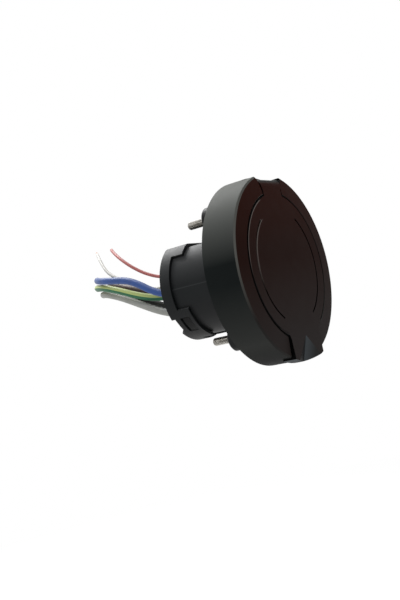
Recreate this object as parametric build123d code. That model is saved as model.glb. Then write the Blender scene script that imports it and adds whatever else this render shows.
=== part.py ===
"""Panel socket for charging an electric car, with a sprung lid in a round bezel.

Frame: +Z up, the lid faces -Y and the leads leave towards +Y.
The origin is on the socket's axis, in the plane of the panel that the four bosses seat on.
Depths are counted backwards from the bezel's front face. Lengths are in millimetres.
"""

import math
import os

from build123d import *

# Bezel
bezel_r = 59.0
bezel_depth = 23.0
band_wall = 3.0
ring_wall = 3.0
bezel_edge = 1.0
ring_width = 12.1
ring_rise = 0.8
ring_edge = 0.3
recess_wall = 3.0
floor_depth = 5.2
floor_wall = 2.3
floor_gap = 0.3
post_angle = 20.0
post_inset = 2.6
post_r = 3.6

# Lid
lid_gap = 0.7
lid_wall = 3.0
lid_proud = 0.9
lid_edge = 0.5
rim_draft = 1.7
hinge_half = 11.9
hinge_flare = 14.0
tab_half_top = 19.2
tab_half_rim = 18.8
tab_wall = 7.6
tab_land = 9.0
tab_reach = 1.0
lip_rise = 1.4
lip_start = 9.2
lip_end = 1.2
scoop_inset = 2.1
scoop_depth = 5.0
scoop_half = 15.2
groove_inset = 9.4
groove_width = 1.2
groove_depth = 0.6
groove_top_angle = 53.0
groove_bottom_angle = -59.0

# Hinge
hinge_inset = 8.6
knuckle_r = 5.5
pin_r = 1.5
pin_fit = 0.06
pin_seat = 5.0
pin_tail = 9.0
spring_bay = 9.0
spring_wire = 0.7
spring_turns = 4.5
spring_steps = 10
spring_gap = 0.2
spring_leg = 7.5
pocket_gap = 0.5
pocket_wall = 2.4
pocket_lead = 2.0

# Socket body, a round tube with a flat top
body_r = 31.0
body_flat = 26.4
body_wall = 2.5
body_front = 4.6
body_rear = 70.3
corner_r = 3.5
shoulder_width = 4.6
shoulder_wall = 2.5
body_ribs = 8
body_rib_wall = 2.0

# Mounting flange, a round plate that clamps the body against the bezel
flange_wall = 3.5
flange_gap = 0.3
flange_hole_gap = 2.6

# Mounting bolts, four M5 with captive heads
bolt_angle = 50.774
bolt_r = 2.5
bolt_hole_gap = 0.15
bolt_head_r = 4.6
bolt_head = 3.5
bolt_length = 25.0
bolt_neck_r = 2.3
bolt_tip = 0.7
boss_r = 8.0
boss_height = 8.0
boss_front = 16.0
boss_edge = 1.0
boss_inset = 0.26

# Bezel screws
screw_r = 1.5
screw_head_r = 3.2
screw_head = 1.8
screw_length = 11.0

# Contact carrier and contacts
core_r = 23.0
core_flat = 18.6
core_front = 8.0
plug_depth = 46.5
carrier_foot = 3.0
carrier_gap = 0.2
step_wall = 0.8
power_pcd = 32.0
signal_x = 7.2
signal_z = 11.5
power_r = 4.0
power_bore = 3.05
power_barrel_r = 3.1
power_wire_r = 2.4
signal_r = 2.6
signal_bore = 1.55
signal_barrel_r = 1.7
signal_wire_r = 1.1
contact_gap = 0.1
contact_lip = 3.0
contact_bore_depth = 32.0
contact_collar = 1.5
contact_collar_width = 0.8
contact_tail = 7.0
contact_slit = 0.6
contact_slit_length = 13.0
retainer_wall = 2.4
retainer_screw_z = 19.5
retainer_screw_length = 16.0

# Rear cap with snap tabs
cap_gap = 0.2
cap_wall = 2.1
cap_front = 67.0
cap_rear = 74.5
cap_back_wall = 2.8
cap_fit = 0.1
cap_collar_wall = 2.6
tab_front = 58.5
lower_tab_from = 202.0
lower_tab_to = 255.0
upper_tab_angle = 138.0
window_front = 61.0
window_rear = 68.0
window_from = 212.0
window_to = 234.0
nub_gap = 0.4
notch_depth = 3.0

# Seals
gasket_wall = 1.5
seal_width = 4.4
seal_gap = 0.3
rib_wall = 1.4
rib_height = 1.8
grommet_r = 20.6
grommet_lip = 1.3
grommet_lip_wall = 1.2
grommet_squeeze = 0.1

# Leads, each from its crimp barrel to its stripped end, as (x, depth, z) points
strip_length = 10.0
conductor_share = 0.62
arc_share = 0.45
lead_points = {
    "n": [(-16, 82, 0), (-15.8, 93.9, 4.8), (-14.2, 104.6, 11.6), (-12, 115.7, 16.5), (-9.5, 129.2, 18.9),
          (-5, 142.8, 21.2), (7, 155.2, 23.1), (20, 166.7, 25.1), (33, 177.2, 26.2)],
    "pe": [(0, 81, 0), (-2.5, 98.3, -0.3), (-5, 113, 4.4), (-5, 129.4, 11.6), (-0.5, 145.2, 16.5),
           (10, 157.8, 18.2), (23, 170.2, 19.5), (36, 180.9, 21.1)],
    "l1": [(16, 82, 0), (13.5, 100.6, 2.2), (11.5, 117.1, 6.1), (12.5, 132.9, 12.6), (18, 148.7, 17.3),
           (29, 161.3, 19.8), (42, 173.1, 21.3), (55, 183.2, 23)],
    "l2": [(8, 82, -13.5), (6.5, 98.2, -7.4), (5, 113.1, -0.4), (6.5, 129.3, 6.8), (12, 144.9, 11.6),
           (23, 157.3, 13.7), (36, 169.1, 14.8), (49, 179.3, 16.2)],
    "l3": [(-8, 82, -13.9), (-7.5, 97, -9.1), (-4, 113.6, -1.6), (0.5, 131.5, 6.4), (6, 147.3, 11.5),
           (17, 160, 13.4), (30, 172, 14.4), (43, 182.4, 15.8)],
    "cp": [(-7.2, 79, 11.5), (-6.5, 91.8, 13.2), (-5.5, 104.4, 18.5), (-4, 115.9, 25.9), (0.5, 127.4, 34),
           (9, 137.9, 40.1), (20, 147.6, 43.5), (32, 157.2, 45.8), (44, 166.4, 47.3)],
    "pp": [(7.2, 79, 11.5), (8.4, 93.7, 8.1), (8.2, 106, 6.8), (6.5, 115.9, 10), (5.5, 125.5, 16.5),
           (6.5, 137.4, 21.1), (10, 148.1, 27.7), (17, 157.2, 36), (27, 166.8, 42.7), (39, 176.9, 46.5)],
}

# Levels worked out from the sizes above
front_y = -(bezel_depth + boss_height)
recess_r = bezel_r - ring_width
post_reach = recess_r + post_inset
lid_r = recess_r - lid_gap
hinge_z = bezel_r - hinge_inset
tab_shoulder_z = -math.sqrt(lid_r**2 - tab_half_top**2)
lip_front = -lid_proud - lip_rise
scoop_start = lid_r - scoop_inset
groove_r = lid_r - groove_inset
flange_r = bezel_r - band_wall - flange_gap
bolt_reach = flange_r - boss_r - boss_inset
pin_depth = knuckle_r - lid_proud
lid_back = lid_wall - lid_proud
flange_front = bezel_depth - flange_wall
foot_front = body_front + plug_depth
foot_rear = foot_front + carrier_foot
retainer_front = foot_rear + contact_collar
retainer_rear = retainer_front + retainer_wall
barrel_rear = retainer_rear + contact_tail
cap_r = body_r + cap_gap + cap_wall
cap_floor = cap_rear - cap_back_wall
grommet_rear = cap_rear + grommet_lip_wall
pocket_r = knuckle_r + pocket_gap
knuckle_top = hinge_z + knuckle_r
knuckle_half = hinge_half + hinge_flare - math.sqrt(hinge_flare**2 - (knuckle_top - recess_r) ** 2)
pocket_half = knuckle_half + lid_gap
notch_half = tab_half_top + lid_gap

# Contact places, seen from the front: (x, z), and the lead that each one holds
power_ring = power_pcd / 2
power_places = {
    "pe": (0.0, 0.0),
    "n": (-power_ring, 0.0),
    "l1": (power_ring, 0.0),
    "l2": (power_ring * 0.5, -power_ring * math.sin(math.radians(60))),
    "l3": (-power_ring * 0.5, -power_ring * math.sin(math.radians(60))),
}
signal_places = {
    "cp": (-signal_x, signal_z),
    "pp": (signal_x, signal_z),
}


def view_plane(depth):
    """Front-view plane at a depth behind the bezel face; local x is X and local y is Z."""
    return Plane(origin=(0, front_y + depth, 0), x_dir=(1, 0, 0), z_dir=(0, -1, 0))


def slab(sketch, start, end):
    """Front-view sketch made solid between two depths."""
    return extrude(view_plane(end) * sketch, end - start)


def turned(points):
    """Solid of revolution about the socket's axis from (radius, depth) points."""
    outline = Polyline(*[(r, front_y + d) for r, d in points], close=True)
    return revolve(make_face(outline), axis=Axis.Y)


def rod(radius, start, end, x=0.0, z=0.0):
    """Round bar along the socket's axis between two depths."""
    return slab(Pos(x, z) * Circle(radius), start, end)


def cross_bar(radius, x_from, x_to):
    """Round bar along the hinge axis."""
    plane = Plane(origin=(x_from, front_y + pin_depth, hinge_z), x_dir=(0, 1, 0), z_dir=(1, 0, 0))
    return extrude(plane * Circle(radius), x_to - x_from)


def block(x_half, z_from, z_to, start, end):
    """Box centred on X between two heights and two depths."""
    middle = Pos(0, (z_from + z_to) / 2)
    return slab(middle * Rectangle(2 * x_half, z_to - z_from), start, end)


def flat_topped(radius, flat, corner):
    """Circle cut flat at the top with rounded corners."""
    shape = Circle(radius) & (Pos(0, flat - radius) * Rectangle(2 * radius, 2 * radius))
    return fillet(shape.vertices().group_by(Axis.Y)[-1], corner)


def body_outline(offset_by):
    """The socket body's outline, grown or shrunk by an offset."""
    return flat_topped(body_r + offset_by, body_flat + offset_by, max(corner_r + offset_by, 0.5))


def body_ring(outer, inner, start, end):
    """Ring between two offsets of the body's outline."""
    return slab(body_outline(outer) - body_outline(inner), start, end)


def sector(angle_from, angle_to, reach):
    """Front-view wedge between two angles about the axis."""
    step = math.radians(angle_to - angle_from) / 4
    angles = [math.radians(angle_from) + step * i for i in range(5)]
    rim = [(reach * math.cos(a), reach * math.sin(a)) for a in angles]
    return make_face(Polyline((0, 0), *rim, close=True))


def mirrored(shape):
    """A shape and its mirror image across the middle plane."""
    return shape + mirror(shape, about=Plane.YZ)


def tab_outline(grow):
    """Outline of the pull tab below the lid's round part."""
    slope = (tab_half_rim - tab_half_top) / (bezel_r + tab_shoulder_z)
    low = bezel_r + 5
    half_low = tab_half_top + slope * (low + tab_shoulder_z)
    top = lid_r * 0.5
    return make_face(
        Polyline(
            (-tab_half_top - grow, -top),
            (-tab_half_top - grow, tab_shoulder_z),
            (-half_low - grow, -low),
            (half_low + grow, -low),
            (tab_half_top + grow, tab_shoulder_z),
            (tab_half_top + grow, -top),
            close=True,
        )
    )


def hinge_outline(grow, z_from, z_to):
    """Outline of the lid's hinge tongue between two heights, with sides that flare to the rim."""
    half = hinge_half + grow
    flare = hinge_flare - grow
    level = lid_r + lid_gap
    side = Line((half, 0), (half, level))
    curve = CenterArc((half + flare, level), flare, 180, -90)
    roof = Line(curve @ 1, (0, level + flare))
    right = make_face([side, curve, roof, Line((0, level + flare), (0, 0)), Line((0, 0), (half, 0))])
    outline = right + mirror(right, about=Plane.YZ)
    return outline & (Pos(0, (z_from + z_to) / 2) * Rectangle(4 * half, z_to - z_from))


def bolt_places():
    """Centres of the four mounting bolts."""
    angle = math.radians(bolt_angle)
    return GridLocations(2 * bolt_reach * math.cos(angle), 2 * bolt_reach * math.sin(angle), 2, 2)


def post_places():
    """Centres of the four bezel screws."""
    angles = [post_angle, 180 - post_angle, 180 + post_angle, 360 - post_angle]
    return [
        Pos(post_reach * math.cos(math.radians(a)), post_reach * math.sin(math.radians(a))) for a in angles
    ]


def make_bezel():
    """Round bezel: front ring, band, lid recess, hinge pocket and screw posts."""
    wall_r = recess_r + recess_wall
    floor_rear = floor_depth + floor_wall
    hole_r = body_r - body_wall - 4
    shell = turned(
        [
            (bezel_r - bezel_edge, 0),
            (bezel_r, bezel_edge),
            (bezel_r, bezel_depth),
            (bezel_r - band_wall, bezel_depth),
            (bezel_r - band_wall, ring_wall),
            (wall_r, ring_wall),
            (wall_r, floor_rear),
            (hole_r, floor_rear),
            (hole_r, floor_depth),
            (recess_r, floor_depth),
            (recess_r, ring_edge - ring_rise),
            (recess_r + ring_edge, -ring_rise),
        ]
    )
    outside = rod(bezel_r - bezel_edge, 0, bezel_depth)
    hinge_top = bezel_r + 2
    pocket_rear = pin_depth + pocket_r
    block_low = hinge_z - pocket_r - pocket_wall
    block_half = pocket_half + pin_seat + 0.8
    hinge_block = block(block_half, block_low, hinge_top, 0, pocket_rear + pocket_wall)
    tab_floor = tab_wall - lid_proud + pocket_gap
    tab_block = block(notch_half + pocket_wall, -hinge_top, -recess_r, 0, tab_floor + pocket_wall)
    blocks = (hinge_block + tab_block) & outside
    blocks -= rod(recess_r, -ring_rise, floor_depth)
    notch = slab(tab_outline(lid_gap) - Circle(recess_r * 0.8), -ring_rise - 1, tab_floor)
    pockets = hinge_pocket() + notch
    shell = (shell - pockets) + (blocks - pockets)
    for place in post_places():
        shell += slab(place * Circle(post_r) - Circle(wall_r - 0.5), ring_wall - 1, flange_front)
    shell -= slab(body_outline(floor_gap), floor_depth - 1, floor_rear + 1)
    shell -= cross_bar(pin_r, -pocket_half - pin_seat, bezel_r)
    leg_depth = pin_depth + spring_mean()
    shell -= spring_leg_bar(leg_depth, spring_wire / 2 + 0.1)
    for place in post_places():
        shell -= slab(place * Circle(screw_r - 0.2), flange_front - screw_length, flange_front)
    return shell


def hinge_pocket():
    """Room for the hinge tongue, and round the pin for the whole width of its turning knuckle."""
    top = bezel_r + 2
    rear = pin_depth + pocket_r
    wide_front = pin_depth - pocket_lead
    space = cross_bar(pocket_r, -pocket_half, pocket_half)
    space += block(pocket_half, recess_r - 2, top, -ring_rise - 1, pin_depth)
    space &= slab(hinge_outline(lid_gap, 0, top), -ring_rise - 2, pin_depth)
    turning = cross_bar(pocket_r, -pocket_half, pocket_half)
    turning += block(pocket_half, hinge_z, top, wide_front, rear)
    return space + (turning & block(pocket_half + 1, 0, top, wide_front, rear + 1))


def spring_mean():
    """Mean radius of the lid spring's coil, whose front leg lies along the lid."""
    return pin_depth - lid_back - spring_wire / 2 - spring_gap


def spring_leg_bar(depth, radius):
    """Straight leg of the lid spring, pointing down from the coil."""
    side = -1 if depth > pin_depth else 1
    x = side * spring_turns * spring_pitch() / 2
    plane = Plane(origin=(x, front_y + depth, hinge_z), x_dir=(1, 0, 0), z_dir=(0, 0, -1))
    return extrude(plane * Circle(radius), spring_leg)


def spring_pitch():
    """Spacing of the lid spring's turns."""
    return spring_wire * 1.15


def make_lid():
    """Sprung lid: round plate, hinge tongue with knuckle, pull tab with a raised lip and a finger scoop."""
    tongue = hinge_outline(0, 0, hinge_z)
    tab = tab_outline(0) & Circle(bezel_r + tab_reach)
    plate_outline = Circle(lid_r) + tongue + tab
    lid = slab(plate_outline, -lid_proud, lid_back)
    lid = chamfer(lid.faces().sort_by(Axis.Y)[0].edges(), lid_edge)
    lid -= rim_relief()
    lid += slab(plate_outline, lip_front, lid_back) & lip_ramp()
    lid += slab(tab - Circle(bezel_r - tab_land), lid_back - 0.5, tab_wall - lid_proud)
    knuckle = cross_bar(knuckle_r, -2 * hinge_half, 2 * hinge_half)
    lid += knuckle & slab(hinge_outline(0, 0, knuckle_top), -lid_proud, pin_depth + knuckle_r)
    lid -= cross_bar(pin_r + pin_fit, -2 * hinge_half, 2 * hinge_half)
    bay = cross_bar(spring_mean() + spring_wire / 2 + 0.6, -spring_bay / 2, spring_bay / 2)
    opening_top = hinge_z + knuckle_r + 1
    opening_low = hinge_z - knuckle_r - 1
    opening_rear = pin_depth + knuckle_r + 1
    opening = block(spring_bay / 2, opening_low, opening_top, pin_depth, opening_rear)
    lower = block(spring_bay / 2, opening_low, hinge_z, lid_back, opening_rear)
    lid -= bay + opening + lower
    rib = -body_wall / 2 - seal_width / 2
    lid += body_ring(rib, rib - rib_wall, lid_back - 0.3, lid_back + rib_height)
    groove_path = CenterArc((0, 0), groove_r, groove_bottom_angle, groove_top_angle - groove_bottom_angle)
    groove = trace(groove_path, groove_width)
    lid -= mirrored(slab(groove, -lid_proud - 1, -lid_proud + groove_depth))
    return lid - scoop_cutter()


def rim_relief():
    """Draft of the plate's round rim, which clears the bezel's ring as the lid starts to turn."""
    start = lid_edge - lid_proud
    steep = rim_draft / (lid_back - start)
    past = lid_r + 1
    end = lid_back + 1
    slope = [(lid_r, start), (past, start), (past, end), (lid_r - steep * (end - start), end)]
    rim = turned(slope)
    rim -= block(hinge_half, 0, bezel_r, start - 1, end + 1)
    return rim - slab(tab_outline(0), start - 1, end + 1)


def lip_ramp():
    """Side-view wedge, across the whole lid, that raises its lowest part into a pull lip."""
    low = bezel_r + 5
    side = make_face(
        Polyline(
            (front_y - lid_proud, -lid_r + lip_start),
            (front_y + lip_front, -lid_r + lip_end),
            (front_y + lip_front, -low),
            (front_y, -low),
            (front_y, -lid_r + lip_start),
            close=True,
        )
    )
    plane = Plane(origin=(-lid_r, 0, 0), x_dir=(0, 1, 0), z_dir=(1, 0, 0))
    return extrude(plane * side, 2 * lid_r)


def scoop_cutter():
    """Wedge that sinks the finger scoop from its point down to the tab's edge."""
    margin = 2.0
    low = bezel_r + 4
    fall = scoop_depth * (low - scoop_start) / (bezel_r - scoop_start)
    spread = scoop_half / scoop_depth
    top = front_y + lip_front
    plane = Plane(origin=(0, 0, -low), x_dir=(1, 0, 0), z_dir=(0, 0, 1))
    wedge = make_face(
        Polyline(
            (0, top + fall),
            (spread * (fall + margin), top - margin),
            (-spread * (fall + margin), top - margin),
            close=True,
        )
    )
    slope = scoop_depth / (bezel_r - scoop_start)
    rise = low - scoop_start + margin / slope + 1
    return extrude(plane * wedge, rise, dir=(0, -slope, 1))


def make_lid_seal():
    """Rubber ring inside the lid, over the socket body's rim."""
    middle = -body_wall / 2
    return body_ring(middle + seal_width / 2, middle - seal_width / 2, lid_back, body_front - seal_gap)


def make_hinge_pin():
    """Pin that the lid turns on."""
    return cross_bar(pin_r, -pocket_half - pin_seat + 0.3, pocket_half + pin_tail)


def make_lid_spring():
    """Torsion spring round the pin, in short straights, with a leg in the bezel and one on the lid."""
    mean = spring_mean()
    start = -spring_turns * spring_pitch() / 2
    steps = int(spring_turns * spring_steps)
    points = [Vector(start, front_y + pin_depth + mean, hinge_z - spring_leg)]
    for step in range(steps + 1):
        turn = step / spring_steps
        across = mean * math.cos(2 * math.pi * turn)
        up = mean * math.sin(2 * math.pi * turn)
        points.append(Vector(start + turn * spring_pitch(), front_y + pin_depth + across, hinge_z + up))
    points.append(points[-1] - Vector(0, 0, spring_leg))
    path = Polyline(*points)
    profile = Plane(origin=path @ 0, z_dir=path % 0) * Circle(spring_wire / 2)
    return sweep(profile, path=path, transition=Transition.RIGHT)


def make_socket_body():
    """Flat-topped tube with its sealing shoulder, clamping ribs and snap nubs."""
    body = body_ring(0, -body_wall, body_front, body_rear)
    body -= slab(body_outline(-body_wall + step_wall), foot_front, body_rear + 1)
    shoulder_front = floor_depth + floor_wall + gasket_wall
    body += body_ring(shoulder_width, -0.5, shoulder_front, shoulder_front + shoulder_wall)
    fan = Sketch() + [
        Rot(0, 0, 360 / body_ribs * i) * Rectangle(4 * body_r, body_rib_wall) for i in range(body_ribs // 2)
    ]
    ribs = (body_outline(shoulder_width) - body_outline(-0.5)) & fan
    body += slab(ribs, shoulder_front, flange_front)
    return body + mirrored(make_nub())


def make_mounting_flange():
    """Round plate behind the bezel, with the four bosses and their captive bolt pockets."""
    plate = slab(Circle(flange_r), flange_front, bezel_depth)
    for place in bolt_places():
        boss = slab(place * Circle(boss_r), boss_front, bezel_depth + boss_height)
        plate += chamfer(boss.faces().sort_by(Axis.Y)[-1].edges(), boss_edge)
    plate -= slab(body_outline(flange_hole_gap), flange_front - 1, bezel_depth + 1)
    plate -= slab(body_outline(shoulder_width + flange_gap), boss_front - 1, flange_front)
    for place in bolt_places():
        plate -= slab(place * RegularPolygon(bolt_head_r + 0.2, 6), boss_front - 1, bolt_seat())
        plate -= slab(place * Circle(bolt_r + bolt_hole_gap), boss_front, bezel_depth + boss_height + 1)
    for place in post_places():
        plate -= slab(place * Circle(screw_r + 0.2), flange_front - 1, bezel_depth + 1)
        plate -= slab(place * Circle(screw_head_r + 0.3), bezel_depth - screw_head, bezel_depth + 1)
    return plate


def bolt_seat():
    """Depth of the face under the captive bolt heads."""
    return boss_front + bolt_head + 0.5


def make_nub():
    """Wedge on the body that a window of the rear cap snaps over."""
    inset = math.degrees(nub_gap / body_r)
    reach = cap_r - 0.3
    arc = sector(window_from + inset, window_to - inset, reach * 1.1)
    ring = (Circle(reach) - Circle(body_r - 0.5)) & arc
    nub = slab(ring, window_front + nub_gap, window_rear - nub_gap)
    edge = nub.edges().filter_by(GeomType.CIRCLE).filter_by(lambda e: abs(e.radius - reach) < 0.01)
    return chamfer(edge.sort_by(Axis.Y)[-1], (reach - body_r) * 0.6)


def make_contact_carrier():
    """Moulded core that the plug's shroud closes round, on a foot, with the seven contact holes."""
    core = slab(flat_topped(core_r, core_flat, corner_r), core_front, foot_front + 1)
    core = chamfer(core.faces().sort_by(Axis.Y)[0].edges(), 0.8)
    core += slab(body_outline(-body_wall + step_wall - carrier_gap), foot_front, foot_rear)
    for x, z in power_places.values():
        core -= rod(power_bore + 0.3, core_front - 1, foot_front, x, z)
        core -= rod(power_r + contact_gap, core_front + contact_lip, foot_rear + 1, x, z)
    for x, z in signal_places.values():
        core -= rod(signal_bore + 0.3, core_front - 1, foot_front, x, z)
        core -= rod(signal_r + contact_gap, core_front + contact_lip, foot_rear + 1, x, z)
    hole_front = retainer_rear - retainer_screw_length
    return core - rod(screw_r - 0.2, hole_front, foot_rear + 1, 0, -retainer_screw_z)


def make_contact(x, z, outer, bore, barrel):
    """Turned contact sleeve with spring slits, a collar and a closed crimp barrel."""
    front = core_front + contact_lip + contact_gap
    contact = rod(outer, front, foot_rear, x, z)
    contact += rod(outer + contact_collar_width, foot_rear, retainer_front, x, z)
    contact += rod(barrel, retainer_front, barrel_rear, x, z)
    contact -= rod(bore, front - 1, front + contact_bore_depth, x, z)
    slit = Rectangle(2 * outer + 1, contact_slit) + Rectangle(contact_slit, 2 * outer + 1)
    return contact - slab(Pos(x, z) * slit, front - 1, front + contact_slit_length)


def make_contact_retainer():
    """Plate behind the contact collars."""
    plate = slab(body_outline(-body_wall + step_wall - carrier_gap), retainer_front, retainer_rear)
    for x, z in power_places.values():
        plate -= rod(power_barrel_r + contact_gap, retainer_front - 1, retainer_rear + 1, x, z)
    for x, z in signal_places.values():
        plate -= rod(signal_barrel_r + contact_gap, retainer_front - 1, retainer_rear + 1, x, z)
    plate -= rod(screw_r + 0.2, retainer_front - 1, retainer_rear + 1, 0, -retainer_screw_z)
    rim = -body_wall + step_wall - carrier_gap
    return plate + body_ring(rim, rim - 2, foot_rear, retainer_front)


def make_retainer_screw():
    """Screw that holds the retainer to the carrier."""
    tip = retainer_rear - retainer_screw_length + 0.5
    shank = rod(screw_r - 0.2, tip, retainer_rear, 0, -retainer_screw_z)
    head = rod(screw_head_r - 0.6, retainer_rear, retainer_rear + screw_head, 0, -retainer_screw_z)
    return chamfer(head.faces().sort_by(Axis.Y)[-1].edges(), 0.4) + shank


def make_rear_cap():
    """Cap over the tube's tail: ring, back wall, inner collar, snap tabs with windows."""
    cap = body_ring(cap_gap + cap_wall, cap_gap, cap_front, cap_rear)
    cap += slab(body_outline(cap_gap + 0.5), cap_floor, cap_rear)
    collar_outer = -body_wall + step_wall - carrier_gap
    cap += body_ring(collar_outer, collar_outer - cap_collar_wall, retainer_rear + cap_fit, cap_rear - 1)
    cap -= rod(grommet_r, cap_floor - 1, cap_rear + 1)
    skirt = body_outline(cap_gap + cap_wall) - body_outline(cap_gap)
    reach = cap_r * 1.3
    cap += mirrored(slab(skirt & sector(lower_tab_from, lower_tab_to, reach), tab_front, cap_front + 1))
    cap += slab(skirt & sector(180 - upper_tab_angle, upper_tab_angle, reach * 1.6), tab_front, cap_front + 1)
    window = sector(window_from, window_to, reach) - Circle(body_r)
    cap -= mirrored(slab(window, window_front, window_rear))
    notch = sector(window_from, window_to, reach) - Circle(body_r - 1)
    cap -= mirrored(slab(notch, cap_rear - notch_depth, cap_rear + 1))
    return cap


def make_grommet():
    """Rubber gland in the cap's back wall that the leads pass through."""
    front = cap_floor - grommet_lip_wall
    gland = rod(grommet_r, front, grommet_rear)
    gland += rod(grommet_r + grommet_lip, front, cap_floor)
    gland += rod(grommet_r + grommet_lip, cap_rear, grommet_rear)
    for x, z in power_places.values():
        gland -= rod(power_wire_r - grommet_squeeze, front - 1, grommet_rear + 1, x, z)
    for x, z in signal_places.values():
        gland -= rod(signal_wire_r - grommet_squeeze, front - 1, grommet_rear + 1, x, z)
    return gland


def make_body_gasket():
    """Flat gasket between the bezel floor and the body's shoulder."""
    rear = floor_depth + floor_wall
    return body_ring(shoulder_width - 0.4, 0.1, rear, rear + gasket_wall)


def make_mounting_bolts():
    """Four hexagon bolts with their heads trapped in the bosses and a thread from the panel's plane."""
    seat = bolt_seat()
    bolts = []
    for place in bolt_places():
        thread = slab(place * Circle(bolt_r), bezel_depth + boss_height, seat + bolt_length)
        thread = chamfer(thread.faces().sort_by(Axis.Y)[-1].edges(), bolt_tip)
        neck = slab(place * Circle(bolt_neck_r), seat, bezel_depth + boss_height)
        bolts.append(thread + neck + slab(place * RegularPolygon(bolt_head_r, 6), seat - bolt_head, seat))
    return Compound(children=bolts)


def make_bezel_screws():
    """Four screws that hold the bezel to the body's flange."""
    screws = []
    top = bezel_depth - screw_head
    for place in post_places():
        shank = slab(place * Circle(screw_r - 0.2), top - screw_length + 1.0, top)
        head = slab(place * Circle(screw_head_r), top, bezel_depth - 0.1)
        recess = slab(place * (Rectangle(3.4, 0.8) + Rectangle(0.8, 3.4)), bezel_depth - 1.0, bezel_depth)
        screws.append(shank + head - recess)
    return Compound(children=screws)


def lead_route(name, x, z):
    """A lead's points in the part's frame, from the crimp barrel to the stripped end."""
    points = [(x, barrel_rear, z)] + lead_points[name]
    return [Vector(px, front_y + depth, pz) for px, depth, pz in points]


def lead_radii(route):
    """Arc radius at each corner of a route, as large as its two runs allow."""
    radii = []
    for before, corner, after in zip(route, route[1:], route[2:]):
        run_in = corner - before
        run_out = after - corner
        half_turn = math.radians(run_in.get_angle(run_out) / 2)
        radii.append(arc_share * min(run_in.length, run_out.length) / math.tan(half_turn))
    return radii


def make_lead(name, x, z, radius):
    """Insulated lead: straight runs joined by tangent arcs."""
    route = lead_route(name, x, z)
    radii = lead_radii(route)
    path = FilletPolyline(*route, radius=radii)
    lead = sweep(Plane(origin=path @ 0, z_dir=path % 0) * Circle(radius), path=path)
    share = lead.volume / (math.pi * radius**2 * path.length)
    print(name, "length", round(path.length, 1), "radii", [round(r) for r in radii])
    print(name, "volume against section times length", round(share, 4))
    return lead


def make_strands(name, x, z, radius):
    """Bare copper strands at a lead's stripped end."""
    route = lead_route(name, x, z)
    plane = Plane(origin=route[-1], z_dir=route[-1] - route[-2])
    strands = extrude(plane * Circle(radius * conductor_share), strip_length)
    return chamfer(strands.faces().sort_by(lambda f: (f.center() - route[-1]).length)[-1].edges(), 0.3)


def build_parts():
    """Every sub-part by its name."""
    parts = {
        "bezel": make_bezel(),
        "lid": make_lid(),
        "lid_seal": make_lid_seal(),
        "hinge_pin": make_hinge_pin(),
        "lid_spring": make_lid_spring(),
        "socket_body": make_socket_body(),
        "mounting_flange": make_mounting_flange(),
        "contact_carrier": make_contact_carrier(),
        "contact_retainer": make_contact_retainer(),
        "retainer_screw": make_retainer_screw(),
        "rear_cap": make_rear_cap(),
        "lead_grommet": make_grommet(),
        "body_gasket": make_body_gasket(),
        "mounting_bolts": make_mounting_bolts(),
        "bezel_screws": make_bezel_screws(),
    }
    for name, (x, z) in power_places.items():
        parts["contact_" + name] = make_contact(x, z, power_r, power_bore, power_barrel_r)
        parts["lead_" + name] = make_lead(name, x, z, power_wire_r)
        parts["strands_" + name] = make_strands(name, x, z, power_wire_r)
    for name, (x, z) in signal_places.items():
        parts["contact_" + name] = make_contact(x, z, signal_r, signal_bore, signal_barrel_r)
        parts["lead_" + name] = make_lead(name, x, z, signal_wire_r)
        parts["strands_" + name] = make_strands(name, x, z, signal_wire_r)
    return parts


os.makedirs("parts", exist_ok=True)
for node, shape in build_parts().items():
    export_step(shape, "parts/" + node + ".step")
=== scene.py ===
import math
import random

import bpy
from mathutils import Matrix, Vector


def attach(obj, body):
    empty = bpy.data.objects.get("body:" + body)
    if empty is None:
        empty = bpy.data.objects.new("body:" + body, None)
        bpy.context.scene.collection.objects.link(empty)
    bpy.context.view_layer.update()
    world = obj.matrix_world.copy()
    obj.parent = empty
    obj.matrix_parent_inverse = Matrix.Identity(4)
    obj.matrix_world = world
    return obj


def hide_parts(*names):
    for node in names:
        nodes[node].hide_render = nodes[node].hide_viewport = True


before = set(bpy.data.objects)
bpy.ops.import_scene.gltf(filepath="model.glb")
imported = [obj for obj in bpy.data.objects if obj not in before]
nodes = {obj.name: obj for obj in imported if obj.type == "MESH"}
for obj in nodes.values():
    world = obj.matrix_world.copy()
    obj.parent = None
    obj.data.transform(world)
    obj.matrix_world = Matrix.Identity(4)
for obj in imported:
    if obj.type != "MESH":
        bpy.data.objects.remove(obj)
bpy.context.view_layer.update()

# Sizes shared with the part's source, in metres
POWER_R, SIGNAL_R = 0.0024, 0.0011
STRIP = 0.010
COPPER_SHARE = 0.62
BOLT_X, BOLT_Z = 0.030, 0.03675
BOLT_R, BOLT_NECK_R, BOLT_ROOT_R = 0.0025, 0.0023, 0.00208
BOLT_HEAD_R, BOLT_HEAD, BOLT_HEAD_EDGE, BOLT_TIP = 0.0046, 0.0035, 0.0003, 0.0007
BOLT_SEAT, BOLT_END = -0.011, 0.014
THREAD_PITCH = 0.0008
HINGE_Y, HINGE_Z = -0.0264, 0.0504
SPRING_WIRE_R, SPRING_TURNS, SPRING_PITCH, SPRING_LEG = 0.00035, 4.5, 0.000805, 0.0075
SPRING_MEAN = 0.00195

# Sizes of the modelling alone, in metres, and its counts of sides and steps
LEAD_LIP, STRAND_ROOT, STRAND_SPARE = 0.00025, 0.001, 0.0008
LEAD_SIDES, ROUTE_STEPS = 40, 14
WIRE_SIDES, WIRE_STEPS = 8, 14
BOLT_SIDES, THREAD_STEPS = 24, 8
SPRING_SIDES, SPRING_STEPS, SPRING_LEG_STEPS = 12, 28, 6

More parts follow.
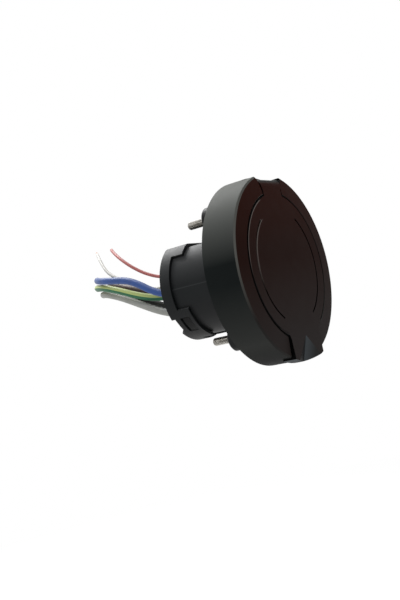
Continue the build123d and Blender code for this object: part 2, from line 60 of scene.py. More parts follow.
# Shares: a wire's place in its bundle, the twist in bundle radii, the cut ends, the bolt's head and thread
WIRE_FIT, STRAND_TWIST, STRAND_CUT = 0.99, 9, (0.965, 0.995)
BOLT_HEAD_FRONT, THREAD_SLOPE, THREAD_FLAT = 0.93, 1.3, 0.15
SHARP_ANGLE = math.radians(32)

# Camera, fitted to the photograph
CAMERA_PLACE = (-0.508613, -0.295663, -0.031945)
CAMERA_FORWARD = (0.83575, 0.54767, 0.03979)
CAMERA_UP = (0.08414, -0.19934, 0.97631)
CAMERA_LENS, CAMERA_SENSOR = 55.24, 36.0


def place_camera():
    """The photograph's viewpoint."""
    data = bpy.data.cameras.new("camera")
    data.sensor_width = CAMERA_SENSOR
    data.lens = CAMERA_LENS
    data.clip_start = 0.01
    camera = bpy.data.objects.new("camera", data)
    bpy.context.scene.collection.objects.link(camera)
    forward = Vector(CAMERA_FORWARD).normalized()
    right = forward.cross(Vector(CAMERA_UP)).normalized()
    up = right.cross(forward)
    turn = Matrix((right, up, -forward)).transposed().to_4x4()
    camera.matrix_world = Matrix.Translation(CAMERA_PLACE) @ turn
    bpy.context.scene.camera = camera


place_camera()


# Cords: each route as in the part's source, from the crimp barrel to the stripped end
ROUTES = {
    "n": [(-0.016, 0.034, 0), (-0.016, 0.051, 0), (-0.0158, 0.0629, 0.0048), (-0.0142, 0.0736, 0.0116),
          (-0.012, 0.0847, 0.0165), (-0.0095, 0.0982, 0.0189), (-0.005, 0.1118, 0.0212),
          (0.007, 0.1242, 0.0231), (0.02, 0.1357, 0.0251), (0.033, 0.1462, 0.0262)],
    "pe": [(0, 0.034, 0), (0, 0.05, 0), (-0.0025, 0.0673, -0.0003), (-0.005, 0.082, 0.0044),
           (-0.005, 0.0984, 0.0116), (-0.0005, 0.1142, 0.0165), (0.01, 0.1268, 0.0182),
           (0.023, 0.1392, 0.0195), (0.036, 0.1499, 0.0211)],
    "l1": [(0.016, 0.034, 0), (0.016, 0.051, 0), (0.0135, 0.0696, 0.0022), (0.0115, 0.0861, 0.0061),
           (0.0125, 0.1019, 0.0126), (0.018, 0.1177, 0.0173), (0.029, 0.1303, 0.0198),
           (0.042, 0.1421, 0.0213), (0.055, 0.1522, 0.023)],
    "l2": [(0.008, 0.034, -0.0139), (0.008, 0.051, -0.0135), (0.0065, 0.0672, -0.0074),
           (0.005, 0.0821, -0.0004), (0.0065, 0.0983, 0.0068), (0.012, 0.1139, 0.0116),
           (0.023, 0.1263, 0.0137), (0.036, 0.1381, 0.0148), (0.049, 0.1483, 0.0162)],
    "l3": [(-0.008, 0.034, -0.0139), (-0.008, 0.051, -0.0139), (-0.0075, 0.066, -0.0091),
           (-0.004, 0.0826, -0.0016), (0.0005, 0.1005, 0.0064), (0.006, 0.1163, 0.0115),
           (0.017, 0.129, 0.0134), (0.03, 0.141, 0.0144), (0.043, 0.1514, 0.0158)],
    "cp": [(-0.0072, 0.034, 0.0115), (-0.0072, 0.048, 0.0115), (-0.0065, 0.0608, 0.0132),
           (-0.0055, 0.0734, 0.0185), (-0.004, 0.0849, 0.0259), (0.0005, 0.0964, 0.034),
           (0.009, 0.1069, 0.0401), (0.02, 0.1166, 0.0435), (0.032, 0.1262, 0.0458),
           (0.044, 0.1354, 0.0473)],
    "pp": [(0.0072, 0.034, 0.0115), (0.0072, 0.048, 0.0115), (0.0084, 0.0627, 0.0081),
           (0.0082, 0.075, 0.0068), (0.0065, 0.0849, 0.01), (0.0055, 0.0945, 0.0165),
           (0.0065, 0.1064, 0.0211), (0.01, 0.1171, 0.0277), (0.017, 0.1262, 0.036),
           (0.027, 0.1358, 0.0427), (0.039, 0.1459, 0.0465)],
}
SIGNAL = ("cp", "pp")


def spline_line(points):
    """Points of the smooth line that a route's NURBS spline draws."""
    curve = bpy.data.curves.new("route", "CURVE")
    curve.dimensions = "3D"
    curve.resolution_u = ROUTE_STEPS
    spline = curve.splines.new("NURBS")
    spline.points.add(len(points) - 1)
    for point, place in zip(spline.points, points):
        point.co = (*place, 1)
    spline.order_u = 3
    spline.use_endpoint_u = True
    guide = bpy.data.objects.new("route", curve)
    bpy.context.scene.collection.objects.link(guide)
    mesh = bpy.data.meshes.new_from_object(guide)
    line = [vertex.co.copy() for vertex in mesh.vertices]
    bpy.data.objects.remove(guide)
    bpy.data.curves.remove(curve)
    bpy.data.meshes.remove(mesh)
    return line


def frames_along(line):
    """A point, side and up direction at each point of a line, turned as little as possible."""
    result = []
    along = (line[1] - line[0]).normalized()
    side = along.orthogonal().normalized()
    for i, point in enumerate(line):
        ahead = line[min(i + 1, len(line) - 1)]
        behind = line[max(i - 1, 0)]
        new_along = (ahead - behind).normalized()
        side = along.rotation_difference(new_along) @ side
        side = (side - new_along * side.dot(new_along)).normalized()
        along = new_along
        result.append((point, side, along.cross(side)))
    return result


def new_piece(name, verts, faces, uvs):
    """A mesh piece from plain lists, with one UV pair a face corner and its four-sided faces smooth."""
    mesh = bpy.data.meshes.new(name)
    mesh.from_pydata(verts, [], faces)
    layer = mesh.uv_layers.new(name="along")
    for loop, uv in zip(layer.data, uvs):
        loop.uv = uv
    mesh.validate()
    mesh.update()
    mesh.polygons.foreach_set("use_smooth", [len(p.vertices) == 4 for p in mesh.polygons])
    piece = bpy.data.objects.new(name, mesh)
    bpy.context.scene.collection.objects.link(piece)
    return piece


def stand_in(piece, node):
    """Puts a piece in the place of a fixed solid, which it hides."""
    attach(piece, "socket")
    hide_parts(node)


def tube_lists(line, radii, sides, start=0):
    """Rings along a line, closed at both ends, as vertices, faces and UVs."""
    verts, faces, uvs = [], [], []
    travelled = [0.0]
    for a, b in zip(line, line[1:]):
        travelled.append(travelled[-1] + (b - a).length)
    for (point, side, up), radius in zip(frames_along(line), radii):
        for k in range(sides):
            a = 2 * math.pi * k / sides
            verts.append(point + side * radius * math.cos(a) + up * radius * math.sin(a))
    for i in range(len(line) - 1):
        for k in range(sides):
            n = (k + 1) % sides
            low, high = start + i * sides, start + (i + 1) * sides
            faces.append((low + k, low + n, high + n, high + k))
            u0, u1 = k / sides, (k + 1) / sides
            uvs += [(u0, travelled[i]), (u1, travelled[i]), (u1, travelled[i + 1]), (u0, travelled[i + 1])]
    last = start + (len(line) - 1) * sides
    faces.append(tuple(start + k for k in reversed(range(sides))))
    faces.append(tuple(last + k for k in range(sides)))
    uvs += [(0.5, 0.0)] * (2 * sides)
    return verts, faces, uvs


def make_lead(name):
    """An insulated lead with its bare twisted strands."""
    radius = SIGNAL_R if name in SIGNAL else POWER_R
    line = spline_line(ROUTES[name])
    start = (line[1] - line[0]).normalized()
    end = (line[-1] - line[-2]).normalized()
    body = [line[0], line[0] + start * LEAD_LIP] + line[1:-1] + [line[-1] - end * LEAD_LIP, line[-1]]
    radii = [radius - LEAD_LIP] + [radius] * (len(body) - 2) + [radius - LEAD_LIP]
    lead = new_piece("lead_" + name + "_skin", *tube_lists(body, radii, LEAD_SIDES))
    stand_in(lead, "lead_" + name)
    strands = make_strands(name, line[-1] - end * STRAND_ROOT, end, radius * COPPER_SHARE)
    return lead


def make_strands(name, root, along, reach):
    """A bundle of twisted copper wires: one in the middle and rings round it."""
    rings = [(1, 0.0), (6, 2.0)] if name in SIGNAL else [(1, 0.0), (6, 2.0), (12, 4.0)]
    wire = reach / (rings[-1][1] + 1)
    side = along.orthogonal().normalized()
    up = along.cross(side)
    length = STRIP + STRAND_SPARE
    twist = length / (reach * STRAND_TWIST)
    verts, faces, uvs = [], [], []
    luck = random.Random(name)
    for count, ring in rings:
        for i in range(count):
            angle = 2 * math.pi * i / count
            cut = length * luck.uniform(*STRAND_CUT)
            line = []
            for step in range(WIRE_STEPS + 1):
                t = step / WIRE_STEPS
                a = angle + t * twist
                line.append(root + along * cut * t + (side * math.cos(a) + up * math.sin(a)) * ring * wire)
            v, f, u = tube_lists(line, [wire * WIRE_FIT] * len(line), WIRE_SIDES, len(verts))
            verts += v
            faces += f
            uvs += u
    strands = new_piece("strands_" + name + "_wires", verts, faces, uvs)
    stand_in(strands, "strands_" + name)
    return strands


leads = {name: make_lead(name) for name in ROUTES}


# Small metal parts in place of the plain solids
def bolt_rings():
    """Rings of a bolt from its head to its tip, each a list of depths and radii."""
    turns = [k / BOLT_SIDES for k in range(BOLT_SIDES)]
    rings = [[(BOLT_SEAT - BOLT_HEAD, hexagon(turn) * BOLT_HEAD_FRONT) for turn in turns]]
    rings += [[(BOLT_SEAT - BOLT_HEAD + BOLT_HEAD_EDGE, hexagon(turn)) for turn in turns]]
    rings += [[(BOLT_SEAT, hexagon(turn)) for turn in turns]]
    rings += [[(y, BOLT_NECK_R)] * BOLT_SIDES for y in (BOLT_SEAT, 0.0)]
    count = int(BOLT_END / THREAD_PITCH * THREAD_STEPS)
    for i in range(count + 1):
        y = BOLT_END * i / count
        rings.append([(y, thread_radius(y, turn)) for turn in turns])
    return rings


def make_bolts():
    """Four bolts with a cut thread behind the panel's plane and a hexagon head in the boss."""
    sides, rings = BOLT_SIDES, bolt_rings()
    verts, faces, uvs = [], [], []
    for x in (-BOLT_X, BOLT_X):
        for z in (-BOLT_Z, BOLT_Z):
            start = len(verts)
            for ring in rings:
                for k, (y, radius) in enumerate(ring):
                    a = 2 * math.pi * k / sides
                    verts.append((x + radius * math.cos(a), y, z + radius * math.sin(a)))
            for i in range(len(rings) - 1):
                for k in range(sides):
                    n = (k + 1) % sides
                    low, high = start + i * sides, start + (i + 1) * sides
                    faces.append((low + n, low + k, high + k, high + n))
                    corners = (rings[i][n], rings[i][k], rings[i + 1][k], rings[i + 1][n])
                    uvs += [((radius - BOLT_ROOT_R) / (BOLT_R - BOLT_ROOT_R), y) for y, radius in corners]
            last = start + (len(rings) - 1) * sides
            faces.append(tuple(start + k for k in range(sides)))
            faces.append(tuple(last + k for k in reversed(range(sides))))
            uvs += [(1.0, 0.0)] * (2 * sides)
    piece = new_piece("bolts_threaded", verts, faces, uvs)
    piece.data.set_sharp_from_angle(angle=SHARP_ANGLE)
    stand_in(piece, "mounting_bolts")
    return piece


def hexagon(turn):
    """Radius of the bolt head's hexagon at a share of a turn."""
    corners = 6
    across = math.cos(math.pi / corners) * BOLT_HEAD_R
    return across / math.cos((turn * corners % 1 - 0.5) * 2 * math.pi / corners)


def thread_radius(y, turn):
    """Radius of the thread at a depth and a share of a turn, with a tapered tip."""
    wave = abs((y / THREAD_PITCH - turn) % 1 * 2 - 1)
    depth = min(1, max(0, wave * THREAD_SLOPE - THREAD_FLAT))
    radius = BOLT_ROOT_R + (BOLT_R - BOLT_ROOT_R) * (1 - depth)
    if y > BOLT_END - BOLT_TIP:
        radius = min(radius, BOLT_R - (y - BOLT_END + BOLT_TIP))
    return radius


def make_spring():
    """Wire torsion spring round the hinge pin, with a leg on the bezel and one on the lid."""
    half = SPRING_TURNS * SPRING_PITCH / 2
    line = []
    for k in range(SPRING_LEG_STEPS):
        low = HINGE_Z - SPRING_LEG * (1 - k / SPRING_LEG_STEPS)
        line.append(Vector((-half, HINGE_Y + SPRING_MEAN, low)))
    for step in range(int(SPRING_TURNS * SPRING_STEPS) + 1):
        turn = step / SPRING_STEPS
        a = 2 * math.pi * turn
        across, up = SPRING_MEAN * math.cos(a), SPRING_MEAN * math.sin(a)
        line.append(Vector((turn * SPRING_PITCH - half, HINGE_Y + across, HINGE_Z + up)))
    end = line[-1]
    line += [end - Vector((0, 0, SPRING_LEG * (k + 1) / SPRING_LEG_STEPS)) for k in range(SPRING_LEG_STEPS)]
    piece = new_piece("spring_coil", *tube_lists(line, [SPRING_WIRE_R] * len(line), SPRING_SIDES))
    stand_in(piece, "lid_spring")
    return piece


bolts = make_bolts()
spring = make_spring()


# Materials: ways to build their nodes
def new_material(name):
    """A material with its node tree and shader."""
    material = bpy.data.materials.new(name)
    material.use_nodes = True
    tree = material.node_tree
    return material, tree, tree.nodes["Principled BSDF"]


def add(tree, kind, **values):
    """A node with properties and input values set by name."""
    node = tree.nodes.new(kind)
    for key, value in values.items():
        if key in node.bl_rna.properties:
            setattr(node, key, value)
        else:
            node.inputs[key].default_value = value
    return node


def maths(tree, operation, first, second):
    """One sum on two values."""
    node = add(tree, "ShaderNodeMath", operation=operation)
    tree.links.new(first, node.inputs[0])
    tree.links.new(second, node.inputs[1])
    return node.outputs[0]


def coordinate(tree, kind):
    """One of a surface's own coordinates."""
    return add(tree, "ShaderNodeTexCoord").outputs[kind]


def part_of(tree, vector, axis):
    """One axis of a vector."""
    split = add(tree, "ShaderNodeSeparateXYZ")
    tree.links.new(vector, split.inputs["Vector"])
    return split.outputs[axis]


def noise(tree, scale, detail=2.0):
    """Noise on the object's own coordinates."""
    node = add(tree, "ShaderNodeTexNoise", Scale=scale, Detail=detail, Roughness=0.5)
    tree.links.new(coordinate(tree, "Object"), node.inputs["Vector"])
    return node.outputs["Fac"]


def spread(tree, value, low, high, from_low=0.0, from_high=1.0):
    """A value mapped from one range on to another, and held inside it."""
    node = add(tree, "ShaderNodeMapRange")
    tree.links.new(value, node.inputs["Value"])
    node.inputs["From Min"].default_value = from_low
    node.inputs["From Max"].default_value = from_high
    node.inputs["To Min"].default_value = low
    node.inputs["To Max"].default_value = high
    return node.outputs["Result"]


def mix(tree, factor, a, b):
    """Two colours mixed by a factor."""
    node = add(tree, "ShaderNodeMix", data_type="RGBA")
    tree.links.new(factor, node.inputs["Factor"])
    for socket, colour in ((node.inputs[6], a), (node.inputs[7], b)):
        if isinstance(colour, tuple):
            socket.default_value = (*colour, 1)
        else:
            tree.links.new(colour, socket)
    return node.outputs[2]


def clouded(tree, colour, other, scale, low=0.35, high=0.7, detail=3):
    """Two colours mixed by soft clouds."""
    return mix(tree, spread(tree, noise(tree, scale, detail), 0, 1, low, high), colour, other)


def uneven(tree, shader, low, high, scale, detail=2.0):
    """Roughness that varies a little over the surface."""
    tree.links.new(spread(tree, noise(tree, scale, detail), low, high), shader.inputs["Roughness"])


def bump(tree, shader, scale, strength, distance=0.0002):
    """Fine grain of the surface."""
    node = add(tree, "ShaderNodeBump", Strength=strength, Distance=distance)
    tree.links.new(noise(tree, scale), node.inputs["Height"])
    tree.links.new(node.outputs["Normal"], shader.inputs["Normal"])


def linear(colour):
    """An sRGB colour of 0 to 255 as linear light."""
    return tuple((c / 255 / 12.92) if c <= 10 else ((c / 255 + 0.055) / 1.055) ** 2.4 for c in colour)


def scaled(colour, factor):
    """A colour made darker or paler."""
    return tuple(c * factor for c in colour)


# Materials: shares from 0 to 1 that say where a surface lies and which way it faces. Each pair gives the
# values at which a share is 0 and 1: parts of the normal along an axis, and places or radii in metres.
TO_FRONT, TO_SIDE = (-0.55, -0.95), (-0.3, -0.1)
TO_TOP, TO_BOTTOM, UNDERNEATH = (0.1, 0.9), (-0.1, -0.8), (-0.74, -0.97)
FLAT_FRONT, SLANT_FROM, SLANT_TO = (-0.7, -0.9), (-0.80, -0.74), (-0.60, -0.67)
GROOVE_WALL, GROOVE_LEFT = (-0.5, -0.3), (-0.5, -0.8)
LEFT_HALF, MIDDLE_REACH = (-0.010, -0.014), (0.040, 0.039)
GROOVE_FADE, BLUR = (-0.014, 0.004), 0.0001


def facing(tree, axis, low, high):
    """How far the surface faces along an axis."""
    return spread(tree, part_of(tree, coordinate(tree, "Normal"), axis), 0, 1, low, high)


def place_share(tree, axis, low, high):
    """Place along an axis between two levels."""
    return spread(tree, part_of(tree, coordinate(tree, "Object"), axis), 0, 1, low, high)


def reach_share(tree, low, high):
    """Distance from the socket's axis between two radii."""
    flat = add(tree, "ShaderNodeVectorMath", operation="MULTIPLY")
    flat.inputs[1].default_value = (1, 0, 1)
    length = add(tree, "ShaderNodeVectorMath", operation="LENGTH")
    tree.links.new(coordinate(tree, "Object"), flat.inputs[0])
    tree.links.new(flat.outputs["Vector"], length.inputs[0])
    return spread(tree, length.outputs["Value"], 0, 1, low, high)


def product(tree, *values):
    """Shares multiplied together."""
    result = values[0]
    for value in values[1:]:
        result = maths(tree, "MULTIPLY", result, value)
    return result


def edge_share(tree):
    """The narrow slanted edges of the front."""
    return product(tree, facing(tree, "Y", *SLANT_FROM), facing(tree, "Y", *SLANT_TO))


def left_share(tree):
    """The left half of the front."""
    return place_share(tree, "X", *LEFT_HALF)


def middle_share(tree):
    """The middle of the lid, with both grooves."""
    return reach_share(tree, *MIDDLE_REACH)


def groove_highlight_share(tree):
    """The wall of the lid's left groove that carries a painted highlight, fading below."""
    wall = product(tree, facing(tree, "Y", *GROOVE_WALL), facing(tree, "X", *GROOVE_LEFT))
    left = product(tree, middle_share(tree), left_share(tree))
    return product(tree, wall, left, place_share(tree, "Z", *GROOVE_FADE))


def ring_share(tree, inner, outer, low, full, high):
    """A narrow ring on the left half of the front, up to a level, with one fading end."""
    outside, inside = reach_share(tree, inner - BLUR, inner + BLUR), reach_share(tree, outer, outer - BLUR)
    ring = product(tree, outside, inside)
    part = product(tree, place_share(tree, "Z", low, full), place_share(tree, "Z", high, high - 10 * BLUR))
    return product(tree, ring, part, left_share(tree), facing(tree, "Y", *FLAT_FRONT))


# Materials: painted light and shade drawn on the mouldings, and the tube's seam
# Painted shade: black for gaps and walls, a warm near-black for the lid's sunk middle, a near-black for the
# nubs inside the cap's windows
SHADE_BLACK, SUNK_SHADE, NUB_SHADE = (0.001, 0.001, 0.001), linear((9, 4, 3)), linear((8, 8, 8))
# Painted light on the scoop's near facet, from lit to pale across it, and painted shade on its far facet
SCOOP_LIT, SCOOP_PALE, SCOOP_DARK = linear((64, 68, 71)), linear((42, 42, 42)), linear((12, 12, 13))
UPPER_TINTS, LOWER_TINTS = (0.050, 0.012), (0.005, -0.045)
EDGE_HEIGHT, EDGE_LEFT = (-0.030, 0.010), (0.015, -0.005)
INNER_RIGHT, INNER_WALL = (0.005, 0.010), (-0.2, -0.4)
SCOOP_LEVEL, SCOOP_WIDTH, SCOOP_SIDE = (-0.040, -0.044), (0.001, 0.010), (0.1, 0.28)
LID_WALL, SUNK_DEPTH, BESIDE_TAB = (-0.3, -0.6), (-0.0317, -0.0314), (-0.0412, -0.0405)
RIM, GROOVE_RIM = (0.0451, 0.0457), (0.0357, 0.0362)
RIM_SHADOW, RIM_LIT, GROOVE_LIT = (0.000, -0.010, 0.005), (-0.004, 0.012, 0.042), (-0.010, 0.008, 0.030)
SEAM_LEVEL, SEAM_HALF, SEAM_LEFT = 0.001, 0.0002, (-0.8, -0.9)
NUB_REACH, NUB_DEPTH = (0.0312, 0.0316), (0.015, 0.018)


def paint_front_reflection(tree, base, tints):
    """Painted reflection on the front: three tints from its top to its bottom, warm brown above and a paler
    neutral below.
    """
    high, middle, low = tints
    upper = mix(tree, place_share(tree, "Z", *UPPER_TINTS), high, middle)
    tint = mix(tree, place_share(tree, "Z", *LOWER_TINTS), upper, low)
    return mix(tree, facing(tree, "Y", *TO_FRONT), base, tint)


def paint_bezel_highlight_and_shade(tree, base, edge):
    """Painted highlight on the front edge on the left, and painted shade, black, on the walls inside on the
    right.
    """
    lit = product(tree, place_share(tree, "Z", *EDGE_HEIGHT), place_share(tree, "X", *EDGE_LEFT))
    base = mix(tree, product(tree, edge_share(tree), lit), base, edge)
    inner = product(tree, facing(tree, "Y", *TO_SIDE), facing(tree, "X", *INNER_WALL))
    return mix(tree, product(tree, inner, place_share(tree, "X", *INNER_RIGHT)), base, SHADE_BLACK)


def paint_lid_light_and_shade(tree, base, lit):
    """Painted light and shade on the lid: a painted lit side and a painted dark side of the scoop, painted
    shade in the gap round the lid and in its sunk middle, a painted shadow on the rim beside the tab, and
    painted highlights on the left groove's wall and on the rims of the lid and its groove.
    """
    scooped = place_share(tree, "Z", *SCOOP_LEVEL)
    valley = mix(tree, place_share(tree, "X", *SCOOP_WIDTH), SCOOP_LIT, SCOOP_PALE)
    base = mix(tree, product(tree, scooped, facing(tree, "X", *scaled(SCOOP_SIDE, -1))), base, valley)
    base = mix(tree, product(tree, scooped, facing(tree, "X", *SCOOP_SIDE)), base, SCOOP_DARK)
    # Painted shade: the lid's slanted edges and side walls black, as the gap's shade
    base = mix(tree, edge_share(tree), base, SHADE_BLACK)
    walls = product(tree, facing(tree, "Y", *TO_SIDE), facing(tree, "X", *LID_WALL))
    base = mix(tree, walls, base, SHADE_BLACK)
    # Painted shade on the front faces of the lid's sunk middle
    sunk = product(tree, place_share(tree, "Y", *SUNK_DEPTH), middle_share(tree))
    base = mix(tree, product(tree, sunk, facing(tree, "Y", *TO_FRONT)), base, SUNK_SHADE)
    # Painted highlight on the left groove's wall
    base = mix(tree, groove_highlight_share(tree), base, lit)
    # Painted shadow on the rim beside the tab, then painted highlights on the rims of the lid and its groove
    beside_tab = place_share(tree, "Z", *BESIDE_TAB)
    shadow = product(tree, ring_share(tree, *RIM, *RIM_SHADOW), beside_tab)
    base = mix(tree, shadow, base, SHADE_BLACK)
    base = mix(tree, ring_share(tree, *RIM, *RIM_LIT), base, lit)
    return mix(tree, ring_share(tree, *GROOVE_RIM, *GROOVE_LIT), base, lit)


def draw_seam_and_nub_shade(tree, base, seam):
    """Mould seam on the left of the tube, and painted shade that darkens the snap nubs at its rear."""
    below = place_share(tree, "Z", SEAM_LEVEL - 2 * SEAM_HALF, SEAM_LEVEL - SEAM_HALF)
    above = place_share(tree, "Z", SEAM_LEVEL + 2 * SEAM_HALF, SEAM_LEVEL + SEAM_HALF)
    base = mix(tree, product(tree, below, above, facing(tree, "X", *SEAM_LEFT)), base, seam)
    # Painted shade: the nubs darkened as the shade inside the cap's windows
    nubs = product(tree, reach_share(tree, *NUB_REACH), place_share(tree, "Y", *NUB_DEPTH))
    return mix(tree, nubs, base, NUB_SHADE)


# Materials: the kinds themselves
def moulded(name, plain, top, front=None, edge=None, lid=None, seam=None, rough=0.5, shine=0.1):
    """Black moulded plastic with a painted highlight on faces that look up, weaker painted light on faces
    that look down and painted shade right underneath, with what its front, edges, lid or seam show.
    """
    material, tree, shader = new_material(name)
    base = clouded(tree, plain, scaled(plain, 1.25), scale=45)
    # Painted light: a painted highlight on faces that look up, a weaker painted light on faces that look
    # down, painted shade on those right underneath
    base = mix(tree, facing(tree, "Z", *TO_TOP), base, top)
    base = mix(tree, facing(tree, "Z", *TO_BOTTOM), base, scaled(top, 0.22))
    base = mix(tree, facing(tree, "Z", *UNDERNEATH), base, scaled(top, 0.02))
    for draw, colour in ((paint_front_reflection, front), (paint_bezel_highlight_and_shade, edge), (paint_lid_light_and_shade, lid), (draw_seam_and_nub_shade, seam)):
        if colour:
            base = draw(tree, base, colour)
    tree.links.new(base, shader.inputs["Base Color"])
    uneven(tree, shader, rough - 0.06, rough + 0.06, scale=120, detail=4)
    shader.inputs["Specular IOR Level"].default_value = shine
    bump(tree, shader, scale=2600, strength=0.06)
    return material


def rubber(name, colour):
    """Soft matt rubber."""
    material, tree, shader = new_material(name)
    tree.links.new(clouded(tree, colour, scaled(colour, 1.3), scale=60), shader.inputs["Base Color"])
    uneven(tree, shader, 0.54, 0.70, scale=300)
    shader.inputs["Specular IOR Level"].default_value = 0.3
    bump(tree, shader, scale=1500, strength=0.08)
    return material


def metal(name, colour, rough, dull, root=None):
    """Plated or bare metal with faint stains; a thread may have painted shade in its roots, told by its UVs.
    """
    material, tree, shader = new_material(name)
    base = clouded(tree, colour, dull, scale=220, low=0.4, high=0.75, detail=4)
    if root:
        crest = part_of(tree, coordinate(tree, "UV"), "X")
        base = mix(tree, spread(tree, crest, 1, 0, 0.1, 0.85), base, root)
    tree.links.new(base, shader.inputs["Base Color"])
    uneven(tree, shader, rough - 0.08, rough + 0.1, scale=400, detail=3)
    shader.inputs["Metallic"].default_value = 1.0
    bump(tree, shader, scale=1800, strength=0.08, distance=0.0001)
    return material


def insulation(name, colour, second=None):
    """Soft lead insulation, plain or with two lengthwise stripes."""
    material, tree, shader = new_material(name)
    shade = clouded(tree, colour, scaled(colour, 0.82), scale=130)
    if second:
        wave = add(tree, "ShaderNodeMath", operation="PINGPONG")
        wave.inputs[1].default_value = 0.25
        tree.links.new(part_of(tree, coordinate(tree, "UV"), "X"), wave.inputs[0])
        shade = mix(tree, spread(tree, wave.outputs[0], 0, 1, 0.12, 0.13), shade, second)
    tree.links.new(shade, shader.inputs["Base Color"])
    shader.inputs["Roughness"].default_value = 0.5
    shader.inputs["Specular IOR Level"].default_value = 0.3
    bump(tree, shader, scale=500, strength=0.02)
    return material


# The top colours are painted highlights for faces that look up; the face tints are painted reflection down
# the front
FACE_PLAIN, FACE_PAINTED_TOP_LIGHT = linear((20, 23, 23)), linear((98, 100, 97))
FACE_PAINTED_REFLECTION = (linear((39, 9, 1)), linear((28, 8, 3)), linear((40, 35, 34)))
TUBE_PLAIN, TUBE_PAINTED_TOP_LIGHT = linear((24, 26, 27)), linear((62, 63, 64))
# edge is the colour of the bezel's painted edge highlight, lid the colour of the lid's painted highlights
FACE = moulded("face_black", FACE_PLAIN, FACE_PAINTED_TOP_LIGHT, FACE_PAINTED_REFLECTION, edge=linear((80, 80, 77)), shine=0.02)
LID = moulded("lid_black", FACE_PLAIN, FACE_PAINTED_TOP_LIGHT, FACE_PAINTED_REFLECTION, lid=linear((104, 96, 92)), shine=0.02)
BODY = moulded("body_black", TUBE_PLAIN, TUBE_PAINTED_TOP_LIGHT, seam=linear((42, 44, 45)), rough=0.45)
CAP = moulded("cap_black", TUBE_PLAIN, TUBE_PAINTED_TOP_LIGHT, rough=0.45)
# The second colour is the painted highlight on faces that look up
INNER = moulded("inner_black", linear((26, 27, 28)), linear((46, 47, 48)), rough=0.45)
SEAL = rubber("seal_rubber", linear((40, 40, 41)))
STEEL = metal("plated_steel", linear((196, 192, 182)), 0.3, linear((150, 146, 136)))
# The last colour is painted shade in the thread's roots
THREAD = metal("threaded_steel", linear((214, 211, 204)), 0.28, linear((176, 172, 162)), linear((62, 59, 54)))
SILVER = metal("silver_plate", linear((222, 219, 210)), 0.25, linear((186, 180, 166)))
COPPER = metal("bare_copper", linear((206, 148, 118)), 0.32, linear((166, 108, 82)))
INSULATION = {
    "n": insulation("blue_insulation", linear((44, 74, 134))),
    "pe": insulation("striped_insulation", linear((40, 96, 66)), linear((168, 182, 112))),
    "l1": insulation("brown_insulation", linear((84, 70, 62))),
    "l2": insulation("black_insulation", linear((22, 24, 24))),
    "l3": insulation("grey_insulation", linear((142, 143, 138))),
    "cp": insulation("red_insulation", linear((170, 96, 92))),
    "pp": insulation("white_insulation", linear((206, 205, 200))),
}


def dress(obj, material):
    """Gives an object one material."""
    obj.data.materials.clear()
    obj.data.materials.append(material)


dress(nodes["bezel"], FACE)
dress(nodes["lid"], LID)
dress(nodes["socket_body"], BODY)
dress(nodes["rear_cap"], CAP)
for node in ("contact_carrier", "mounting_flange", "contact_retainer"):
    dress(nodes[node], INNER)
for node in ("lid_seal", "body_gasket", "lead_grommet"):
    dress(nodes[node], SEAL)
for piece in (nodes["hinge_pin"], nodes["bezel_screws"], nodes["retainer_screw"], spring):
    dress(piece, STEEL)
dress(bolts, THREAD)
for name, lead in leads.items():
    dress(nodes["contact_" + name], SILVER)
    dress(lead, INSULATION[name])
    dress(bpy.data.objects["strands_" + name + "_wires"], COPPER)


# Floor, lamps and background
FLOOR_HALF, FLOOR_LEVEL = 3.0, -0.26
FLOOR_GREY = 0.93
FADE_START, FADE_END = 0.25, 0.8
SOFT_LIGHT = 0.55


def seen_share(tree, *rays):
    """Whether a ray is of one of the given kinds."""
    path = add(tree, "ShaderNodeLightPath")
    result = path.outputs[rays[0]]
    for ray in rays[1:]:
        result = maths(tree, "MAXIMUM", result, path.outputs[ray])
    return result


def blend_shaders(tree, share, first, second, end):
    """Two shaders mixed by a share and sent to the tree's output."""
    blend = add(tree, "ShaderNodeMixShader")
    tree.links.new(share, blend.inputs[0])
    tree.links.new(first.outputs[0], blend.inputs[1])
    tree.links.new(second.outputs[0], blend.inputs[2])
    tree.links.new(blend.outputs[0], tree.nodes[end].inputs["Surface"])


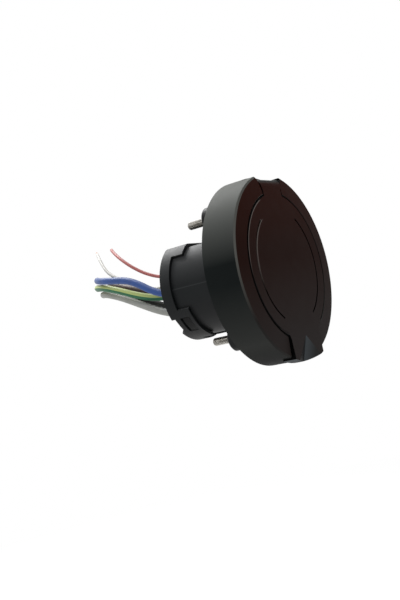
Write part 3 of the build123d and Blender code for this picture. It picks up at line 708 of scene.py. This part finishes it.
def make_floor():
    """Pale floor whose far part melts into the white background."""
    corners = [(x * FLOOR_HALF, y * FLOOR_HALF, 0) for x, y in ((-1, -1), (1, -1), (1, 1), (-1, 1))]
    mesh = bpy.data.meshes.new("floor")
    mesh.from_pydata(corners, [], [(0, 1, 2, 3)])
    floor = bpy.data.objects.new("floor", mesh)
    floor.location.z = FLOOR_LEVEL
    bpy.context.scene.collection.objects.link(floor)
    material, tree, shader = new_material("floor_white")
    shader.inputs["Base Color"].default_value = (FLOOR_GREY, FLOOR_GREY, FLOOR_GREY, 1)
    shader.inputs["Roughness"].default_value = 0.9
    shader.inputs["Specular IOR Level"].default_value = 0.0
    white = add(tree, "ShaderNodeEmission", Strength=1.0)
    distance = add(tree, "ShaderNodeVectorMath", operation="LENGTH")
    tree.links.new(coordinate(tree, "Object"), distance.inputs[0])
    far = spread(tree, distance.outputs["Value"], 0, 1, FADE_START, FADE_END)
    share = product(tree, far, seen_share(tree, "Is Camera Ray", "Is Glossy Ray"))
    blend_shaders(tree, share, shader, white, "Material Output")
    dress(floor, material)


def make_world():
    """White background for the camera and for reflections, soft grey light for the rest."""
    world = bpy.data.worlds.new("studio")
    bpy.context.scene.world = world
    world.use_nodes = True
    tree = world.node_tree
    soft = tree.nodes["Background"]
    soft.inputs["Color"].default_value = (1, 1, 1, 1)
    soft.inputs["Strength"].default_value = SOFT_LIGHT
    white = add(tree, "ShaderNodeBackground", Strength=1.0, Color=(1, 1, 1, 1))
    seen = seen_share(tree, "Is Camera Ray", "Is Glossy Ray", "Is Transmission Ray")
    blend_shaders(tree, seen, soft, white, "World Output")


def make_lamp(name, place, size, power):
    """A softbox that faces the object."""
    data = bpy.data.lights.new(name, "AREA")
    data.shape = "SQUARE"
    data.size = size
    data.energy = power
    lamp = bpy.data.objects.new(name, data)
    lamp.location = place
    lamp.rotation_euler = (-Vector(place)).to_track_quat("-Z", "Y").to_euler()
    bpy.context.scene.collection.objects.link(lamp)


bpy.context.scene.view_settings.view_transform = "Standard"
make_floor()
make_world()
make_lamp("softbox_top", place=(0.25, 0.55, 0.75), size=0.55, power=9.0)
make_lamp("softbox_left", place=(-0.9, -0.1, 0.5), size=0.6, power=3.0)
